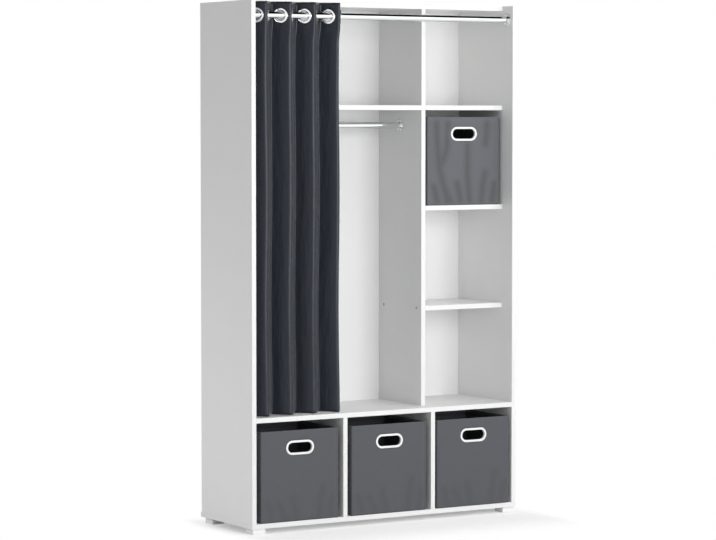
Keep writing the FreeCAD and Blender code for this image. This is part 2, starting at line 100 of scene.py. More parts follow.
# Melamine paper: hard, nearly white, half matt, with a fine pressed pearl grain
melamine, tree, place = start_material("white_melamine_paper")
pearl_grain = 1.6 * MM
cloud_size = 180 * MM
pearl = add(tree, "ShaderNodeTexNoise", {"Vector": place, "Scale": 1 / pearl_grain, "Detail": 1.0})
cloud = add(tree, "ShaderNodeTexNoise", {"Vector": place, "Scale": 1 / cloud_size, "Detail": 2.0})
tone = add(tree, "ShaderNodeMix", {"Factor": cloud.outputs["Fac"], "A": linear("#EBECEC"),
                                   "B": linear("#F0F0EF")}, data_type="RGBA")
gloss = add(tree, "ShaderNodeMapRange", {"Value": cloud.outputs["Fac"], "To Min": 0.36, "To Max": 0.46})
relief = add(tree, "ShaderNodeBump", {"Height": pearl.outputs["Fac"], "Strength": 0.25,
                                      "Distance": 0.03 * MM})
add(tree, "Principled BSDF", {"Base Color": tone.outputs["Result"], "Roughness": gloss.outputs["Result"],
                              "Normal": relief.outputs["Normal"], "IOR": 1.5})

# Raw chipboard: pressed wood particles, pale and dark flakes without a direction, quite matt
chipboard, tree, place = start_material("raw_chipboard_edge")
particle = 3.2 * MM
dust_size = particle / 3
flakes = add(tree, "ShaderNodeTexVoronoi", {"Vector": place, "Scale": 1 / particle, "Randomness": 1.0})
dust = add(tree, "ShaderNodeTexNoise", {"Vector": place, "Scale": 1 / dust_size, "Detail": 3.0})
flake_tone = add(tree, "ShaderNodeSeparateColor", {"Color": flakes.outputs["Color"]})
tone = add(tree, "ShaderNodeMix", {"Factor": flake_tone.outputs["Red"], "A": linear("#A98457"),
                                   "B": linear("#D3B68C")}, data_type="RGBA")
dusted = add(tree, "ShaderNodeMix", {"Factor": dust.outputs["Fac"], "A": tone.outputs["Result"],
                                     "B": linear("#8A683F")}, data_type="RGBA")
relief = add(tree, "ShaderNodeBump", {"Height": dust.outputs["Fac"], "Strength": 0.6, "Distance": 0.3 * MM})
add(tree, "Principled BSDF", {"Base Color": dusted.outputs["Result"], "Roughness": 0.9,
                              "Normal": relief.outputs["Normal"], "IOR": 1.5})


def merged_copy(node):
    """A copy of a CAD node's mesh with its triangles joined into flat faces."""
    bm = bmesh.new()
    bm.from_mesh(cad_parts[node].data)
    bmesh.ops.remove_doubles(bm, verts=bm.verts, dist=weld)
    bmesh.ops.dissolve_limit(bm, angle_limit=math.radians(1), verts=bm.verts, edges=bm.edges)
    bm.normal_update()
    return bm


def box_sides(element, low, high):
    """Which of the six sides of a box an edge or face lies on, as pairs of axis and end."""
    return [(axis, end) for axis in range(3) for end, side in ((0, low), (1, high))
            if all(abs(vert.co[axis] - side[axis]) < side_play for vert in element.verts)]


def make_piece(name, bm, body, slot, *materials):
    """Turns a finished bmesh into a piece that rides on a body."""
    mesh = bpy.data.meshes.new(name)
    bm.to_mesh(mesh)
    bm.free()
    for made in materials:
        mesh.materials.append(made)
    piece = bpy.data.objects.new(name, mesh)
    bpy.context.scene.collection.objects.link(piece)
    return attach(piece, body)


# Faces at the rear, and those of holes and grooves, are raw
REAR = (1, 1)
for node in board_nodes:
    bm = merged_copy(node)
    low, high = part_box(node)
    for face in bm.faces:
        sides = box_sides(face, low, high)
        face.material_index = 1 if REAR in sides or not sides else 0
    outer = [edge for edge in bm.edges if len(box_sides(edge, low, high)) == 2]
    rounded = bmesh.ops.bevel(bm, geom=outer, offset=band_round, offset_type="OFFSET", affect="EDGES",
                              segments=3, profile=0.5, material=-1)
    for face in rounded["faces"]:
        face.smooth = True
    board = make_piece(node + "_faced", bm, "carcass", "white_board", melamine, chipboard)
    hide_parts(node)


# Back sheets. Two sheets of 3 mm hardboard, lacquered white on the face that shows in the cells and
# left brown behind, where the press screen has marked them. They slide into the side grooves.
back_nodes = ("back_panel_left", "back_panel_right")

# White lacquer on hardboard: thin and half matt, with a faint orange peel
lacquer, tree, place = start_material("white_lacquer_on_hardboard")
peel_size = 2.5 * MM
peel = add(tree, "ShaderNodeTexNoise", {"Vector": place, "Scale": 1 / peel_size, "Detail": 1.0})
relief = add(tree, "ShaderNodeBump", {"Height": peel.outputs["Fac"], "Strength": 0.3, "Distance": 0.04 * MM})
gloss = add(tree, "ShaderNodeMapRange", {"Value": peel.outputs["Fac"], "To Min": 0.45, "To Max": 0.55})
add(tree, "Principled BSDF", {"Base Color": linear("#F4F4F4"), "Roughness": gloss.outputs["Result"],
                              "Normal": relief.outputs["Normal"], "IOR": 1.5})

# Raw hardboard: brown pressed wood fibre, with the square print of the wire screen it was pressed on
fibreboard, tree, place = start_material("raw_hardboard_screen_side")
screen_pitch = 2.4 * MM
fibre_size = 9 * MM
turn = math.tau / screen_pitch
parts = add(tree, "ShaderNodeSeparateXYZ", {"Vector": place})
waves = []
for axis in ("X", "Z"):
    phase = add(tree, "ShaderNodeMath", {0: parts.outputs[axis], 1: turn}, operation="MULTIPLY")
    waves.append(add(tree, "ShaderNodeMath", {0: phase.outputs["Value"]}, operation="SINE").outputs["Value"])
weave = add(tree, "ShaderNodeMath", {0: waves[0], 1: waves[1]}, operation="MAXIMUM")
fibres = add(tree, "ShaderNodeTexNoise", {"Vector": place, "Scale": 1 / fibre_size, "Detail": 6.0})
tone = add(tree, "ShaderNodeMix", {"Factor": fibres.outputs["Fac"], "A": linear("#7A5636"),
                                   "B": linear("#A67E55")}, data_type="RGBA")
relief = add(tree, "ShaderNodeBump", {"Height": weave.outputs["Value"], "Strength": 0.5,
                                      "Distance": 0.12 * MM})
add(tree, "Principled BSDF", {"Base Color": tone.outputs["Result"], "Roughness": 0.8,
                              "Normal": relief.outputs["Normal"], "IOR": 1.5})

FRONT = (1, 0)
for node in back_nodes:
    bm = merged_copy(node)
    low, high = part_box(node)
    for face in bm.faces:
        face.material_index = 0 if FRONT in box_sides(face, low, high) else 1
    sheet = make_piece(node + "_hardboard", bm, "carcass", "white_hardboard", lacquer, fibreboard)
    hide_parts(node)


# Joint hardware. Turned beech dowels, zinc plated bolts and screws, and die cast cam discs, all
# bought in. They sit in drilled holes, and only cam faces, screw heads and nail heads show.
# Zinc plate: a bright grey metal skin, a little milky and uneven
zinc, tree, place = start_material("zinc_plated_steel")
spangle = 1.2 * MM
plate = add(tree, "ShaderNodeTexNoise", {"Vector": place, "Scale": 1 / spangle, "Detail": 3.0})
tone = add(tree, "ShaderNodeMix", {"Factor": plate.outputs["Fac"], "A": linear("#9EA1A4"),
                                   "B": linear("#C4C6C8")}, data_type="RGBA")
gloss = add(tree, "ShaderNodeMapRange", {"Value": plate.outputs["Fac"], "To Min": 0.28, "To Max": 0.45})
add(tree, "Principled BSDF", {"Base Color": tone.outputs["Result"], "Roughness": gloss.outputs["Result"],
                              "Metallic": 1.0})

# Beech: pale pinkish wood with short dark flecks, turned
beech, tree, place = start_material("turned_beech")
fleck = 0.8 * MM
grain = add(tree, "ShaderNodeTexNoise", {"Vector": place, "Scale": 1 / fleck, "Detail": 2.0})
tone = add(tree, "ShaderNodeMix", {"Factor": grain.outputs["Fac"], "A": linear("#B98F63"),
                                   "B": linear("#DDBE96")}, data_type="RGBA")
add(tree, "Principled BSDF", {"Base Color": tone.outputs["Result"], "Roughness": 0.65, "IOR": 1.5})

for node in ("cam_bolts", "cam_discs", "confirmat_screws", "socket_screws", "back_nails"):
    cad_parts[node].material_slots[0].material = zinc
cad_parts["wooden_dowels"].material_slots[0].material = beech


# Feet. Four low blocks of white plastic, injection moulded with rounded corners, each pressed into
# the underside of the base panel with a peg. The pegs are hidden, and left out here.
foot_round = 4 * MM
foot_rim = 1.2 * MM
level_face = 0.99

# Moulded polypropylene: white, slightly waxy, with a fine spark eroded grain
foot_plastic, tree, place = start_material("moulded_white_polypropylene")
spark_grain = 0.9 * MM
spark = add(tree, "ShaderNodeTexNoise", {"Vector": place, "Scale": 1 / spark_grain, "Detail": 2.0})
relief = add(tree, "ShaderNodeBump", {"Height": spark.outputs["Fac"], "Strength": 0.3, "Distance": 0.05 * MM})
gloss = add(tree, "ShaderNodeMapRange", {"Value": spark.outputs["Fac"], "To Min": 0.4, "To Max": 0.5})
add(tree, "Principled BSDF", {"Base Color": linear("#F0F0EF"), "Roughness": gloss.outputs["Result"],
                              "Normal": relief.outputs["Normal"], "IOR": 1.49})


def block(low, high):
    """A plain block between two corners."""
    bm = bmesh.new()
    bmesh.ops.create_cube(bm, size=1)
    bmesh.ops.scale(bm, vec=high - low, verts=bm.verts)
    bmesh.ops.translate(bm, vec=(low + high) / 2, verts=bm.verts)
    return bm


def rise(edge):
    """How much higher one end of an edge is than the other."""
    return abs(edge.verts[0].co.z - edge.verts[1].co.z)


base_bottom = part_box("base_panel")[0].z
for node in ("foot_front_left", "foot_front_right", "foot_back_left", "foot_back_right"):
    low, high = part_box(node)
    high.z = base_bottom
    bm = block(low, high)
    upright = [edge for edge in bm.edges if rise(edge) > foot_round]
    bmesh.ops.bevel(bm, geom=upright, offset=foot_round, offset_type="OFFSET", affect="EDGES",
                    segments=6, profile=0.5, material=-1)
    rim = [edge for edge in bm.edges if all(vert.co.z < low.z + weld for vert in edge.verts)]
    bmesh.ops.bevel(bm, geom=rim, offset=foot_rim, offset_type="OFFSET", affect="EDGES",
                    segments=3, profile=0.5, material=-1)
    for face in bm.faces:
        face.smooth = abs(face.normal.z) < level_face
    foot = make_piece(node + "_moulded", bm, "carcass", "foot_plastic", foot_plastic)
    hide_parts(node)


# Curtain rod and hanging rail. Drawn steel tubes, polished and chromed, each held at both ends by a
# turned socket with a flange, which two small screws hold to the board.
# Chrome plate: a mirror with a faint cool tone, slightly clouded by handling
chrome, tree, place = start_material("polished_chrome_plate")
smear_size = 35 * MM
smear = add(tree, "ShaderNodeTexNoise", {"Vector": place, "Scale": 1 / smear_size, "Detail": 4.0})
gloss = add(tree, "ShaderNodeMapRange", {"Value": smear.outputs["Fac"], "To Min": 0.05, "To Max": 0.12})
add(tree, "Principled BSDF", {"Base Color": linear("#E9EBEC"), "Roughness": gloss.outputs["Result"],
                              "Metallic": 1.0})
for node in ("curtain_rod", "hanging_rail", "curtain_rod_socket_left", "curtain_rod_socket_right",
             "hanging_rail_socket_left", "hanging_rail_socket_right"):
    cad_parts[node].material_slots[0].material = chrome


# Curtain. One dark cloth, hemmed all round, with eight snapped metal eyelets. It goes to and fro
# through the line of the rod, so that each eyelet stands on a slope between a front and a back fold.
# Below the eyelets the folds hang free and sway a little.
eyelet_count = 8
rod_middle = sum(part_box("curtain_rod"), Vector()) / 2
eyelets_middle = sum(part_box("curtain_eyelets"), Vector()) / 2
rod_y, eyelet_z = rod_middle.y, eyelets_middle.z
curtain_bottom, curtain_top = (corner.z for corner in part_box("curtain_cloth"))
cloth_thickness = 1.2 * MM
slope = math.radians(48.879)
slope_half = 25.890 * MM
fold_radius = 7.0 * MM
end_length = 25.875 * MM
hole_radius = 18.5 * MM
fold_length = 2 * slope * fold_radius
pass_step = 2 * slope_half + fold_length
cloth_width = 2 * end_length + (eyelet_count - 1) * pass_step
cloth_height = curtain_top - curtain_bottom
columns, rows, fine_steps = 288, 150, 3
eyelet_pitch = 2 * (slope_half * math.cos(slope) + fold_radius * math.sin(slope))
first_eyelet = eyelets_middle.x - (eyelet_count - 1) / 2 * eyelet_pitch
end_turn = math.radians(15)

# Satin nickel plate: a bright white metal with a soft shine, on the pressed eyelets
nickel, tree, place = start_material("satin_nickel_plate")
haze_size = 35 * MM
haze = add(tree, "ShaderNodeTexNoise", {"Vector": place, "Scale": 1 / haze_size, "Detail": 2.0})
gloss = add(tree, "ShaderNodeMapRange", {"Value": haze.outputs["Fac"], "To Min": 0.14, "To Max": 0.22})
add(tree, "Principled BSDF", {"Base Color": linear("#F3F4F4"), "Roughness": gloss.outputs["Result"],
                              "Metallic": 1.0})

# Each eyelet is two pressed rings that are snapped together through the cloth
eyelet_bore, eyelet_outer = 15.875 * MM, 23.875 * MM
lip, crown, crown_round = 0.5 * MM, 3.2 * MM, 0.8 * MM
bore_slope = 2.4 * MM
flat_inner = eyelet_bore + bore_slope
snap = 0.65 * MM
barrel = 18.4 * MM
profile = ((eyelet_bore, -lip), (flat_inner, -crown), (eyelet_outer, -crown), (eyelet_outer, -snap),
           (barrel, -snap), (barrel, snap), (eyelet_outer, snap), (eyelet_outer, crown),
           (flat_inner, crown), (eyelet_bore, lip))


def closed_line(bm, places):
    """Corners at places, joined by edges into a closed line."""
    corners = [bm.verts.new(corner) for corner in places]
    for start, end in zip(corners, corners[1:] + corners[:1]):
        bm.edges.new((start, end))
    return corners


def only(kind, elements):
    """Those elements of a mesh that are of one kind."""
    return [element for element in elements if isinstance(element, kind)]


bm = bmesh.new()
corners = closed_line(bm, [(radius, depth, 0) for radius, depth in profile])
bmesh.ops.bevel(bm, geom=corners[1:3] + corners[7:9], offset=crown_round, offset_type="OFFSET",
                affect="VERTICES", segments=4, profile=0.5, material=-1)
bmesh.ops.spin(bm, geom=bm.verts[:] + bm.edges[:], cent=(0, 0, 0), axis=(0, 1, 0), angle=math.tau,
               steps=48, use_merge=True)
pattern = bm.verts[:] + bm.edges[:] + bm.faces[:]
for number in range(eyelet_count):
    ring = only(BMVert, bmesh.ops.duplicate(bm, geom=pattern)["geom"])
    angle = -slope if number % 2 == 0 else slope + end_turn * (number == eyelet_count - 1)
    bmesh.ops.rotate(bm, cent=(0, 0, 0), matrix=Matrix.Rotation(angle, 3, "Z"), verts=ring)
    bmesh.ops.translate(bm, vec=(first_eyelet + number * eyelet_pitch, rod_y, eyelet_z), verts=ring)
bmesh.ops.delete(bm, geom=only(BMVert, pattern), context="VERTS")
bmesh.ops.recalc_face_normals(bm, faces=bm.faces)
for face in bm.faces:
    face.smooth = True
eyelets = make_piece("curtain_eyelets_pressed", bm, "curtain", "chrome", nickel)
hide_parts("curtain_eyelets")

# Woven polyester: dark blue grey, close plain weave with a dull sheen along the crests of the folds
curtain_cloth, tree, place = start_material("woven_polyester_blackout_cloth")
# Threads are 0.4 mm apart in truth, too fine to show, so they are drawn 1.6 mm apart
thread_pitch = 1.6 * MM
slub_size = 14 * MM
wrinkle_size = Vector((22 * MM, 90 * MM, 1))
wrinkle_lean = math.radians(-60)
turn = math.tau / thread_pitch
along = add(tree, "ShaderNodeUVMap", uv_map="threads").outputs["UV"]
parts = add(tree, "ShaderNodeSeparateXYZ", {"Vector": along})
waves = []
for axis in ("X", "Y"):
    phase = add(tree, "ShaderNodeMath", {0: parts.outputs[axis], 1: turn}, operation="MULTIPLY")
    waves.append(add(tree, "ShaderNodeMath", {0: phase.outputs["Value"]}, operation="SINE").outputs["Value"])
weave = add(tree, "ShaderNodeMath", {0: waves[0], 1: waves[1]}, operation="MULTIPLY")
slubs = add(tree, "ShaderNodeTexNoise", {"Vector": along, "Scale": 1 / slub_size, "Detail": 5.0})
tone = add(tree, "ShaderNodeMix", {"Factor": slubs.outputs["Fac"], "A": linear("#191D24"),
                                   "B": linear("#21252C")}, data_type="RGBA")
leaning = add(tree, "ShaderNodeMapping", {"Vector": along, "Rotation": (0, 0, wrinkle_lean),
                                          "Scale": [1 / size for size in wrinkle_size]})
wrinkles = add(tree, "ShaderNodeTexNoise", {"Vector": leaning.outputs["Vector"], "Scale": 1.0, "Detail": 2.0})
wrinkled = add(tree, "ShaderNodeBump", {"Height": wrinkles.outputs["Fac"], "Strength": 0.6,
                                        "Distance": 3 * MM})
relief = add(tree, "ShaderNodeBump", {"Height": weave.outputs["Value"], "Strength": 0.25,
                                      "Distance": 0.08 * MM, "Normal": wrinkled.outputs["Normal"]})
add(tree, "Principled BSDF", {"Base Color": tone.outputs["Result"], "Roughness": 0.4,
                              "Normal": relief.outputs["Normal"], "Specular IOR Level": 0.48,
                              "Specular Tint": linear("#E3EBF7"), "Sheen Weight": 0.26,
                              "Sheen Roughness": 0.35, "IOR": 1.5})

# Folds: stiff at the eyelets, freer below, with wide front bends, tight back bends and bowed passes
stiff_above, shaped_below, free_below = 1640 * MM, 1595 * MM, 1450 * MM
front_radius, back_radius = 9 * MM, 3 * MM
bow_share = 0.32
back_bow, front_bow, hem_front_bow = 9 * MM, 5 * MM, 15 * MM
gather_share = 0.018
slope_search = (0.5 * slope, 1.6 * slope)
search_steps = 30
sway_reach = 2 * MM
sway_crest = 1130 * MM
sway_length = 800 * MM
# Each pass is a little deeper or flatter than the next, and slants a little to and fro: how much,
# with how many waves to a metre, and how far apart the passes and the two kinds are in the noise
depth_share, depth_waves, depth_seed = 0.03, 1.6, 8
pass_seed = math.e
slant_angle, slant_waves_across, slant_waves_down, slant_seed = math.radians(4), 22, 2.3, 0


def clamped(value):
    """A value held between 0 and 1."""
    return min(1, max(0, value))


def freedom(height):
    """How freely the cloth hangs at a height, from 0 at the eyelets to 1."""
    return clamped((stiff_above - height) / (stiff_above - free_below))


def fold_plan(height):
    """How far apart the passes are at a height, and how each one runs: its straight lengths in front of
    the rod and behind it, its angle from the rod, the share that its bow takes off the angle, and how far
    the bow reaches from a front fold. The bow grows towards the hem, and the angle is searched for, so
    that the gathered cloth keeps its width."""
    hung = max(0, (stiff_above - height) / (stiff_above - curtain_bottom))
    shaped = clamped((stiff_above - height) / (stiff_above - shaped_below))
    front = pass_step / 2 - slope * (fold_radius + shaped * (front_radius - fold_radius))
    back = pass_step / 2 - slope * (fold_radius + shaped * (back_radius - fold_radius))
    bow, reach = shaped * bow_share, front_bow + hung * (hem_front_bow - front_bow)
    run = (1 - gather_share * shaped) * eyelet_pitch
    low, high = slope_search
    for step in range(search_steps):
        angle = (low + high) / 2
        turning = (pass_step - front - back) / angle + bow * (back_bow + reach) * angle / 2
        wide = (front + back) * math.cos(angle) + turning * math.sin(angle) > run
        low, high = (angle, high) if wide else (low, angle)
    return run, (front, back, angle, bow, reach)


def heading(along_cloth, height, front, back, angle, bow, reach):
    """The way the cloth runs in plan at a place along its width, as an angle from the rod. The passes that
    run to the front are bowed, and the last pass is turned further than the others."""
    number = min(eyelet_count - 1, max(0, round((along_cloth - end_length) / pass_step)))
    side = -1 if number % 2 == 0 else 1
    from_eyelet = along_cloth - end_length - number * pass_step
    last = number == eyelet_count - 1
    turns = not last if from_eyelet > 0 else number > 0
    straight = front if from_eyelet * side < 0 else back
    past = abs(from_eyelet) - straight
    share = 1 - past / (pass_step / 2 - straight) if past > 0 and turns else 1
    if side < 0:
        share *= 1 - bow * math.exp(-(pass_step / 2 + from_eyelet) / back_bow)
        share *= 1 - bow * math.exp(-(pass_step / 2 - from_eyelet) / reach)
    depth = noise.noise(Vector((number * pass_seed, height * depth_waves, depth_seed)))
    slant = noise.noise(Vector((along_cloth * slant_waves_across, height * slant_waves_down, slant_seed)))
    turned = angle * (1 + freedom(height) * depth_share * depth) + last * end_turn
    return side * share * turned + freedom(height) * slant_angle * slant


fine_step = cloth_width / (columns * fine_steps)
eyelet_places = [end_length + number * pass_step for number in range(eyelet_count)]
marks = [round(middle / fine_step) for middle in eyelet_places]


def folded_row(height):
    """Places in plan along the cloth at one height. It keeps its width, and crosses the rod's line at each
    eyelet's place."""
    points = [Vector((0, 0))]
    run, plan = fold_plan(height)
    for step in range(columns * fine_steps):
        angle = heading((step + 0.5) * fine_step, height, *plan)
        points.append(points[-1] + fine_step * Vector((math.cos(angle), math.sin(angle))))
    trim = (eyelet_count - 1) * run / (points[marks[-1]].x - points[marks[0]].x)
    levels = [points[mark].y for mark in marks]
    sway = sway_reach * math.cos(math.tau * (height - sway_crest) / sway_length)
    left = first_eyelet - trim * points[marks[0]].x + freedom(height) * sway
    for step, point in enumerate(points):
        before = min(eyelet_count - 2, max(0, sum(mark <= step for mark in marks) - 1))
        share = clamped((step - marks[before]) / (marks[before + 1] - marks[before]))
        point.x = left + trim * point.x
        point.y += rod_y - levels[before] - share * (levels[before + 1] - levels[before])
    return points


bm = bmesh.new()
bmesh.ops.create_grid(bm, x_segments=columns, y_segments=rows, size=0.5)
bmesh.ops.scale(bm, vec=(cloth_width, cloth_height, 1), verts=bm.verts)
bmesh.ops.translate(bm, vec=(cloth_width / 2, cloth_height / 2, 0), verts=bm.verts)
threads = bm.loops.layers.uv.new("threads")
for face in bm.faces:
    face.smooth = True
    for loop in face.loops:
        loop[threads].uv = loop.vert.co.xy

# Holes for the eyelets are cut in the flat cloth
eyelet_height = eyelet_z - curtain_bottom
inside = [face for face in bm.faces
          if any(math.hypot(vert.co.x - middle, vert.co.y - eyelet_height) < hole_radius
                 for middle in eyelet_places for vert in face.verts)]
bmesh.ops.delete(bm, geom=inside, context="FACES")
for vert in bm.verts:
    nearest = min(eyelet_places, key=lambda middle: abs(vert.co.x - middle))
    offset = Vector((vert.co.x - nearest, vert.co.y - eyelet_height))
    if vert.is_boundary and offset.length < 2 * hole_radius:
        vert.co.xy = Vector((nearest, eyelet_height)) + offset.normalized() * hole_radius


def thicken(sheet, thickness, offset):
    """Gives a sheet its thickness, to both sides with offset 0, or inwards with offset -1."""
    body = sheet.modifiers.new("thickness", "SOLIDIFY")
    body.thickness = thickness
    body.offset = offset


# The cloth is folded row by row
folded = {}
for vert in bm.verts:
    level = round(vert.co.y, 6)
    if level not in folded:
        folded[level] = folded_row(curtain_bottom + level)
    row = folded[level]
    step = min(columns * fine_steps - 1, int(vert.co.x / fine_step))
    in_plan = row[step].lerp(row[step + 1], vert.co.x / fine_step - step)
    vert.co = (in_plan.x, in_plan.y, curtain_bottom + vert.co.y)
curtain = make_piece("curtain_cloth_folded", bm, "curtain", "curtain_cloth", curtain_cloth)
thicken(curtain, cloth_thickness, 0)
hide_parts("curtain_cloth")


# Storage boxes. A tub sewn from grey non-woven cloth, its rim turned in over cardboard boards that
# stiffen the four walls, with a loose base board, and an oval plastic ring round the grip hole.
box_names = ("lower_left_box", "lower_middle_box", "lower_right_box", "upper_box")
cover_thickness = 0.8 * MM
cover_corner = 2.5 * MM
rim_width = 5.4 * MM
rim_fold = 18 * MM
rim_round = 1.1 * MM
wall_cells = 44
grip_length, grip_height = 96 * MM, 38 * MM
ring_length, ring_height = 105 * MM, 47 * MM
handle_drop = 57 * MM
ring_proud = 2.4 * MM
ring_width = 7 * MM
ring_round = 1.1 * MM
sleeve_wall = 1.5 * MM
wall_depth = 4.6 * MM

# Non-woven polypropylene: grey bonded felt, matt, with faint cloudy fibres and embossed dots. The upper box's
# felt is a little paler than the others', and painted shade darkens the felt along its creases.
# The dots are 1 mm apart in truth, too fine to show, so they are drawn 2.2 mm apart
dot_pitch = 2.2 * MM
felt_size = 5 * MM
cloud_size = 60 * MM
felts = {}
for felt_kind, dark_fibre, pale_fibre, clouded, crease_shade_tone in (
        ("grey_nonwoven_polypropylene", "#525357", "#606166", "#5B5C61", "#505155"),
        ("grey_nonwoven_polypropylene_pale", "#5F6064", "#6D6E73", "#68696E", "#595A5E")):
    felts[felt_kind], tree, place = start_material(felt_kind)
    dots = add(tree, "ShaderNodeTexVoronoi", {"Vector": place, "Scale": 1 / dot_pitch, "Randomness": 0.3})
    felt = add(tree, "ShaderNodeTexNoise", {"Vector": place, "Scale": 1 / felt_size, "Detail": 6.0})
    cloud = add(tree, "ShaderNodeTexNoise", {"Vector": place, "Scale": 1 / cloud_size, "Detail": 3.0})
    fibres = add(tree, "ShaderNodeMix", {"Factor": felt.outputs["Fac"], "A": linear(dark_fibre),
                                         "B": linear(pale_fibre)}, data_type="RGBA")
    tone = add(tree, "ShaderNodeMix", {"Factor": cloud.outputs["Fac"], "A": fibres.outputs["Result"],
                                       "B": linear(clouded)}, data_type="RGBA")
    # Painted shade: the felt is mixed towards a darker grey by how deep each corner lies in the creases
    painted_crease_shade = add(tree, "ShaderNodeAttribute", attribute_name="painted_crease_shade")
    shaded = add(tree, "ShaderNodeMix", {"Factor": painted_crease_shade.outputs["Fac"], "A": tone.outputs["Result"],
                                         "B": linear(crease_shade_tone)}, data_type="RGBA")
    pressed = add(tree, "ShaderNodeMath", {0: dots.outputs["Distance"], 1: felt.outputs["Fac"]},
                  operation="ADD")
    relief = add(tree, "ShaderNodeBump", {"Height": pressed.outputs["Value"], "Strength": 0.3,
                                          "Distance": 0.15 * MM})
    add(tree, "Principled BSDF", {"Base Color": shaded.outputs["Result"], "Roughness": 0.85,
                                  "Normal": relief.outputs["Normal"], "IOR": 1.5, "Specular IOR Level": 0.3,
                                  "Sheen Weight": 0.05})

# Much the same grey felt lines the boards, and looks nearly black in the shade inside a box
box_lining, tree, place = start_material("grey_nonwoven_lining")
felt = add(tree, "ShaderNodeTexNoise", {"Vector": place, "Scale": 1 / felt_size, "Detail": 6.0})
tone = add(tree, "ShaderNodeMix", {"Factor": felt.outputs["Fac"], "A": linear("#55565B"),
                                   "B": linear("#646569")}, data_type="RGBA")
relief = add(tree, "ShaderNodeBump", {"Height": felt.outputs["Fac"], "Strength": 0.4, "Distance": 0.2 * MM})
add(tree, "Principled BSDF", {"Base Color": tone.outputs["Result"], "Roughness": 0.9,
                              "Normal": relief.outputs["Normal"], "IOR": 1.5})

# Moulded ABS: plain white, smooth and rather glossy
handle_plastic, tree, place = start_material("moulded_white_abs")
flow_size = 20 * MM
flow = add(tree, "ShaderNodeTexNoise", {"Vector": place, "Scale": 1 / flow_size, "Detail": 2.0})
gloss = add(tree, "ShaderNodeMapRange", {"Value": flow.outputs["Fac"], "To Min": 0.25, "To Max": 0.35})
add(tree, "Principled BSDF", {"Base Color": linear("#F6F6F6"), "Roughness": gloss.outputs["Result"],
                              "IOR": 1.53})


def from_oval(x, z, length, height):
    """How far a point is outside an oval round the origin, and the nearest point of the oval."""
    radius = height / 2
    middle = min(length / 2 - radius, max(radius - length / 2, x))
    offset = Vector((x - middle, z))
    return offset.length - radius, Vector((middle, 0)) + offset.normalized() * radius


# Creases of a slack front wall, as lines down it in mm from its middle. All of them are on the upper box,
# whose wall is the slackest, and only the short ones at the foot on the others, with their painted shade half
# as dark.
foot_creases = (((87, -41), (78, -80), (71, -141)), ((-27, -76), (-18, -111), (-12, -141)),
                ((-121, -87), (-106, -137)), ((125, -80), (114, -137)), ((-78, -92), (-52, -141)))
long_creases = (((-112, 135), (-106, 51), (-99, -18), (-83, -80), (-63, -141)),
                ((-65, 143), (-65, 89), (-70, 39), (-88, -7)), ((15, 64), (15, -49), (24, -141)),
                ((94, 143), (93, 97), (89, 59)))
crease_width = 14 * MM
lower_crease_shade = 0.5
upper_slack, lower_slack = 1.8 * MM, 1.0 * MM
# The slack's mean and waves, as shares of it, the waves to a metre, and the seed's step between boxes
slack_mean, slack_waving = 0.6, 0.4
waves_across, waves_down, box_seed = 20, 4, 7
# The slack fades out towards the corners, the rim, the foot and the ring
corner_fade, rim_fade, foot_fade, ring_fade = 14 * MM, 20 * MM, 10 * MM, 12 * MM


def crease_share(x, z, lines):
    """How deep a place on a wall lies in the creases, from 0 beside them to 1 along them."""
    deepest = 0
    for line in lines:
        for start, end in zip(line, line[1:]):
            start, along = Vector(start) * MM, (Vector(end) - Vector(start)) * MM
            offset = Vector((x, z)) - start
            share = clamped(offset.dot(along) / along.length_squared)
            deepest = max(deepest, math.exp(-((offset - share * along).length / crease_width) ** 2))
    return deepest


def crumple(across, z, seed):
    """Soft upright waves of a wall that hangs slack on its board, from -1 to 1."""
    return noise.noise(Vector((across * waves_across, z * waves_down, seed)))


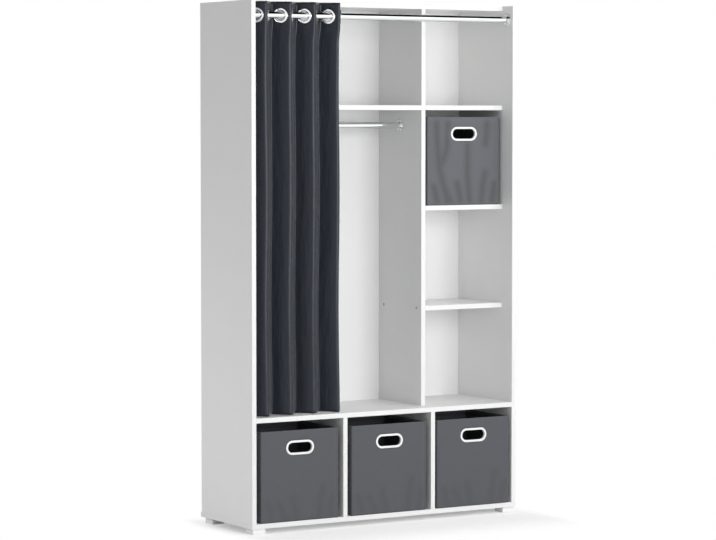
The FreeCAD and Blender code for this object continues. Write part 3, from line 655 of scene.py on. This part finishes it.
for number, name in enumerate(box_names):
    low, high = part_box(name + "_cover")
    middle = (low + high) / 2
    half = (high - low) / 2
    bm = block(low, high)
    top = [face for face in bm.faces if face.normal.z > level_face]
    bmesh.ops.delete(bm, geom=top, context="FACES_ONLY")
    upright = [edge for edge in bm.edges if rise(edge) > half.z]
    bmesh.ops.bevel(bm, geom=upright, offset=cover_corner, offset_type="OFFSET", affect="EDGES",
                    segments=3, profile=0.5, material=-1)
    upright = [edge for edge in bm.edges if rise(edge) > half.z]
    bmesh.ops.subdivide_edges(bm, edges=upright, cuts=wall_cells)
    level = [edge for edge in bm.edges if rise(edge) < side_play and edge.calc_length() > half.x]
    bmesh.ops.subdivide_edges(bm, edges=level, cuts=wall_cells)
    bm.normal_update()

    # Grip hole in the front wall
    grip = Vector((middle.x, low.y, high.z - handle_drop))
    front = [vert for vert in bm.verts if vert.co.y < low.y + weld]
    in_hole = {vert for vert in front
               if from_oval(vert.co.x - grip.x, vert.co.z - grip.z, grip_length, grip_height)[0] < 0}
    inside = [face for face in bm.faces if all(vert.co.y < low.y + weld for vert in face.verts)
              and any(vert in in_hole for vert in face.verts)]
    bmesh.ops.delete(bm, geom=inside, context="FACES")
    for vert in front:
        if vert.is_valid and vert.is_boundary and vert.co.z < high.z - weld:
            nearest = from_oval(vert.co.x - grip.x, vert.co.z - grip.z, grip_length, grip_height)[1]
            vert.co.x, vert.co.z = grip.x + nearest.x, grip.z + nearest.y

    # Walls hang slack on their boards, and touch them along the creases
    upper = name == "upper_box"
    lines, slack = (foot_creases + long_creases, upper_slack) if upper else (foot_creases, lower_slack)
    painted_crease_shade = bm.verts.layers.float.new("painted_crease_shade")
    for vert in bm.verts:
        x, y, z = vert.co - middle
        on_end, on_side = abs(y) > half.y - weld, abs(x) > half.x - weld
        if on_end == on_side or z < weld - half.z:
            continue
        across, reach = (x, half.x) if on_end else (y, half.y)
        fade = clamped((reach - abs(across)) / corner_fade) * clamped((half.z - z) / rim_fade)
        fade *= clamped((z + half.z) / foot_fade)
        wall_seed = number * box_seed + (y > 0) + 2 * (x > 0)
        out = slack * (slack_mean + slack_waving * crumple(across, z, wall_seed))
        if on_end and y < 0:
            fade *= clamped(from_oval(x, vert.co.z - grip.z, ring_length, ring_height)[0] / ring_fade)
            # The front wall gets painted shade along the creases, kept per corner, half as strong on the
            # lower boxes
            deep = crease_share(x, z, lines)
            vert[painted_crease_shade] = deep * fade * (1 if upper else lower_crease_shade)
            out *= 1 - deep
        if on_end:
            vert.co.y += out * fade * (1 if y > 0 else -1)
        else:
            vert.co.x += out * fade * (1 if x > 0 else -1)

    # The rim is turned in over the boards
    rim = [edge for edge in bm.edges
           if edge.is_boundary and all(vert.co.z > high.z - weld for vert in edge.verts)]
    over = bmesh.ops.extrude_edge_only(bm, edges=rim)["geom"]
    share = Vector(((half.x - rim_width) / half.x, (half.y - rim_width) / half.y, 1))
    bmesh.ops.scale(bm, vec=share, verts=only(BMVert, over), space=Matrix.Translation(-middle))
    turned = only(BMEdge, over)
    down = bmesh.ops.extrude_edge_only(bm, edges=turned)["geom"]
    bmesh.ops.translate(bm, vec=(0, 0, -rim_fold), verts=only(BMVert, down))
    crests = [edge for edge in rim + turned if edge.is_valid]
    bmesh.ops.bevel(bm, geom=crests, offset=rim_round, offset_type="OFFSET", affect="EDGES",
                    segments=3, profile=0.5, material=-1)
    bmesh.ops.recalc_face_normals(bm, faces=bm.faces)
    for face in bm.faces:
        face.smooth = True
    felt_kind = "grey_nonwoven_polypropylene_pale" if upper else "grey_nonwoven_polypropylene"
    cover = make_piece(name + "_cover_sewn", bm, name, "box_cloth", felts[felt_kind])
    thicken(cover, cover_thickness, -1)
    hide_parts(name + "_cover")
    for node in (name + "_wall_boards", name + "_base_board"):
        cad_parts[node].material_slots[0].material = box_lining

    # Grip ring: one profile swept round the oval, with a slot that holds the wall
    inner = ring_height / 2 - ring_width
    outer, sleeve = ring_height / 2, inner + sleeve_wall
    rear = wall_depth + ring_proud
    profile = ((inner, -ring_proud), (outer, -ring_proud), (outer, 0), (sleeve, 0),
               (sleeve, wall_depth), (outer, wall_depth), (outer, rear), (inner, rear))
    straight = Vector((ring_length - ring_height, 0, 0))
    right, left = grip + straight / 2, grip - straight / 2
    bm = bmesh.new()
    corners = closed_line(bm, [right + Vector((0, depth, radius)) for radius, depth in profile])
    bmesh.ops.bevel(bm, geom=corners[:2] + corners[6:], offset=ring_round, offset_type="OFFSET",
                    affect="VERTICES", segments=4, profile=0.5, material=-1)
    swept = bm.verts[:] + bm.edges[:]
    for centre, run in ((right, -straight), (left, straight)):
        turned = bmesh.ops.spin(bm, geom=swept, cent=centre, axis=(0, 1, 0), angle=math.pi, steps=20)
        drawn = bmesh.ops.extrude_edge_only(bm, edges=only(BMEdge, turned["geom_last"]))
        swept = only((BMVert, BMEdge), drawn["geom"])
        bmesh.ops.translate(bm, vec=run, verts=only(BMVert, swept))
    bmesh.ops.remove_doubles(bm, verts=bm.verts, dist=weld)
    bmesh.ops.recalc_face_normals(bm, faces=bm.faces)
    for face in bm.faces:
        face.smooth = True
    ring = make_piece(name + "_grip_ring", bm, name, "handle_plastic", handle_plastic)
    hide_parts(name + "_handle")


# Studio. A white floor that runs into a white background, an even soft light from all round, a large
# soft lamp in front, one above, a tall strip at the right for the metal to mirror, and a low lamp at
# the left. The camera stands in front at the left, far off, as it did for the photograph.
floor_size = 30.0
bm = bmesh.new()
bmesh.ops.create_grid(bm, x_segments=1, y_segments=1, size=floor_size / 2)
mesh = bpy.data.meshes.new("studio_floor")
bm.to_mesh(mesh)
bm.free()
floor = bpy.data.objects.new("studio_floor", mesh)
bpy.context.scene.collection.objects.link(floor)


def seen_ray(tree):
    """1 for rays that the camera, a mirror or glass sends out, so that these see the background."""
    ray = add(tree, "ShaderNodeLightPath")
    mirror = add(tree, "ShaderNodeMath", {0: ray.outputs["Is Glossy Ray"],
                                          1: ray.outputs["Is Transmission Ray"]}, operation="MAXIMUM")
    return add(tree, "ShaderNodeMath", {0: ray.outputs["Is Camera Ray"], 1: mirror.outputs["Value"]},
               operation="MAXIMUM").outputs["Value"]


# Paper: it takes the object's shadow close by, mostly in front, and glows white farther off
paper, tree, place = start_material("white_backdrop_paper")
tree.nodes.remove(tree.nodes["Principled BSDF"])
shade_beside, shade_before, shade_forward = 0.08, 0.27, 0.15
moved = add(tree, "ShaderNodeVectorMath", {0: place, 1: (0, shade_forward, 0)}, operation="ADD")
aside = add(tree, "ShaderNodeVectorMath", {0: moved.outputs["Vector"]}, operation="ABSOLUTE")
beyond = add(tree, "ShaderNodeVectorMath", {0: aside.outputs["Vector"], 1: cad_high * Vector((1, 1, 0))},
             operation="SUBTRACT")
outside = add(tree, "ShaderNodeVectorMath", {0: beyond.outputs["Vector"], 1: (0, 0, 0)}, operation="MAXIMUM")
shares = add(tree, "ShaderNodeVectorMath", {0: outside.outputs["Vector"], 1: (shade_beside, shade_before, 1)},
             operation="DIVIDE")
distance = add(tree, "ShaderNodeVectorMath", {0: shares.outputs["Vector"]}, operation="LENGTH")
far = add(tree, "ShaderNodeMapRange", {"Value": distance.outputs["Value"]}, interpolation_type="SMOOTHSTEP")
lit = add(tree, "ShaderNodeBsdfDiffuse", {"Color": linear("#E8E8E8")})
lift = add(tree, "ShaderNodeEmission", {"Color": linear("#FFFFFF"), "Strength": 0.3})
close_by = add(tree, "ShaderNodeAddShader", {0: lit.outputs["BSDF"], 1: lift.outputs["Emission"]})
glow = add(tree, "ShaderNodeEmission", {"Color": linear("#FFFFFF"), "Strength": 1.0})
shown = add(tree, "ShaderNodeMixShader", {"Fac": far.outputs["Result"], 1: close_by.outputs["Shader"],
                                          2: glow.outputs["Emission"]})
mixed = add(tree, "ShaderNodeMixShader", {"Fac": seen_ray(tree), 1: lit.outputs["BSDF"],
                                          2: shown.outputs["Shader"]})
add(tree, "Material Output", {"Surface": mixed.outputs["Shader"]})
mesh.materials.append(paper)

# The background is white down to the floor, and the ceiling is dark, as the rod mirrors it
world = bpy.data.worlds.new("studio")
bpy.context.scene.world = world
world.use_nodes = True
tree = world.node_tree
way = add(tree, "ShaderNodeTexCoord")
parts = add(tree, "ShaderNodeSeparateXYZ", {"Vector": way.outputs["Generated"]})
backdrop = add(tree, "ShaderNodeMapRange", {"Value": parts.outputs["Z"], "From Min": 0.52, "From Max": 0.62,
                                            "To Min": 1.0, "To Max": 0.0})
strength = add(tree, "ShaderNodeMapRange", {"Value": seen_ray(tree), "To Min": 0.455,
                                            "To Max": backdrop.outputs["Result"]})
add(tree, "Background", {"Color": linear("#FFFFFF"), "Strength": strength.outputs["Result"]})

# Lamps: size in metres, power in watts, place and aim. The metal doesn't mirror the one above.
for name, size, energy, location, aim in (
        ("front_softbox", (3.0, 2.2), 119, (0.35, -5, 1.5), (0, 0, 1.0)),
        ("top_softbox", (2.4, 1.0), 26, (0.9, -1.3, 3.6), (0, 0, 0.6)),
        ("right_strip", (1.5, 2.5), 16, (3.1, -5, 1.75), (0, 0, 1.5)),
        ("low_left_lamp", (0.8, 0.3), 3.6, (-1.92, 0.3, 0.2), (-0.5, 0.1, 0.2))):
    lamp_data = bpy.data.lights.new(name, "AREA")
    lamp_data.shape = "RECTANGLE"
    lamp_data.size, lamp_data.size_y = size
    lamp_data.energy = energy
    lamp = bpy.data.objects.new(name, lamp_data)
    bpy.context.scene.collection.objects.link(lamp)
    lamp.location = location
    lamp.visible_glossy = name != "top_softbox"
    lamp.rotation_euler = (Vector(aim) - lamp.location).to_track_quat("-Z", "Y").to_euler()

camera_data = bpy.data.cameras.new("camera")
camera_data.sensor_width = 36
camera_data.lens = 139.96
camera = bpy.data.objects.new("camera", camera_data)
bpy.context.scene.collection.objects.link(camera)
camera.location = (-4.89481, -7.97063, 1.35342)
camera.rotation_euler = (math.radians(86.83024), 0, math.radians(-31.51215))
bpy.context.scene.camera = camera
bpy.context.scene.view_settings.view_transform = "Standard"
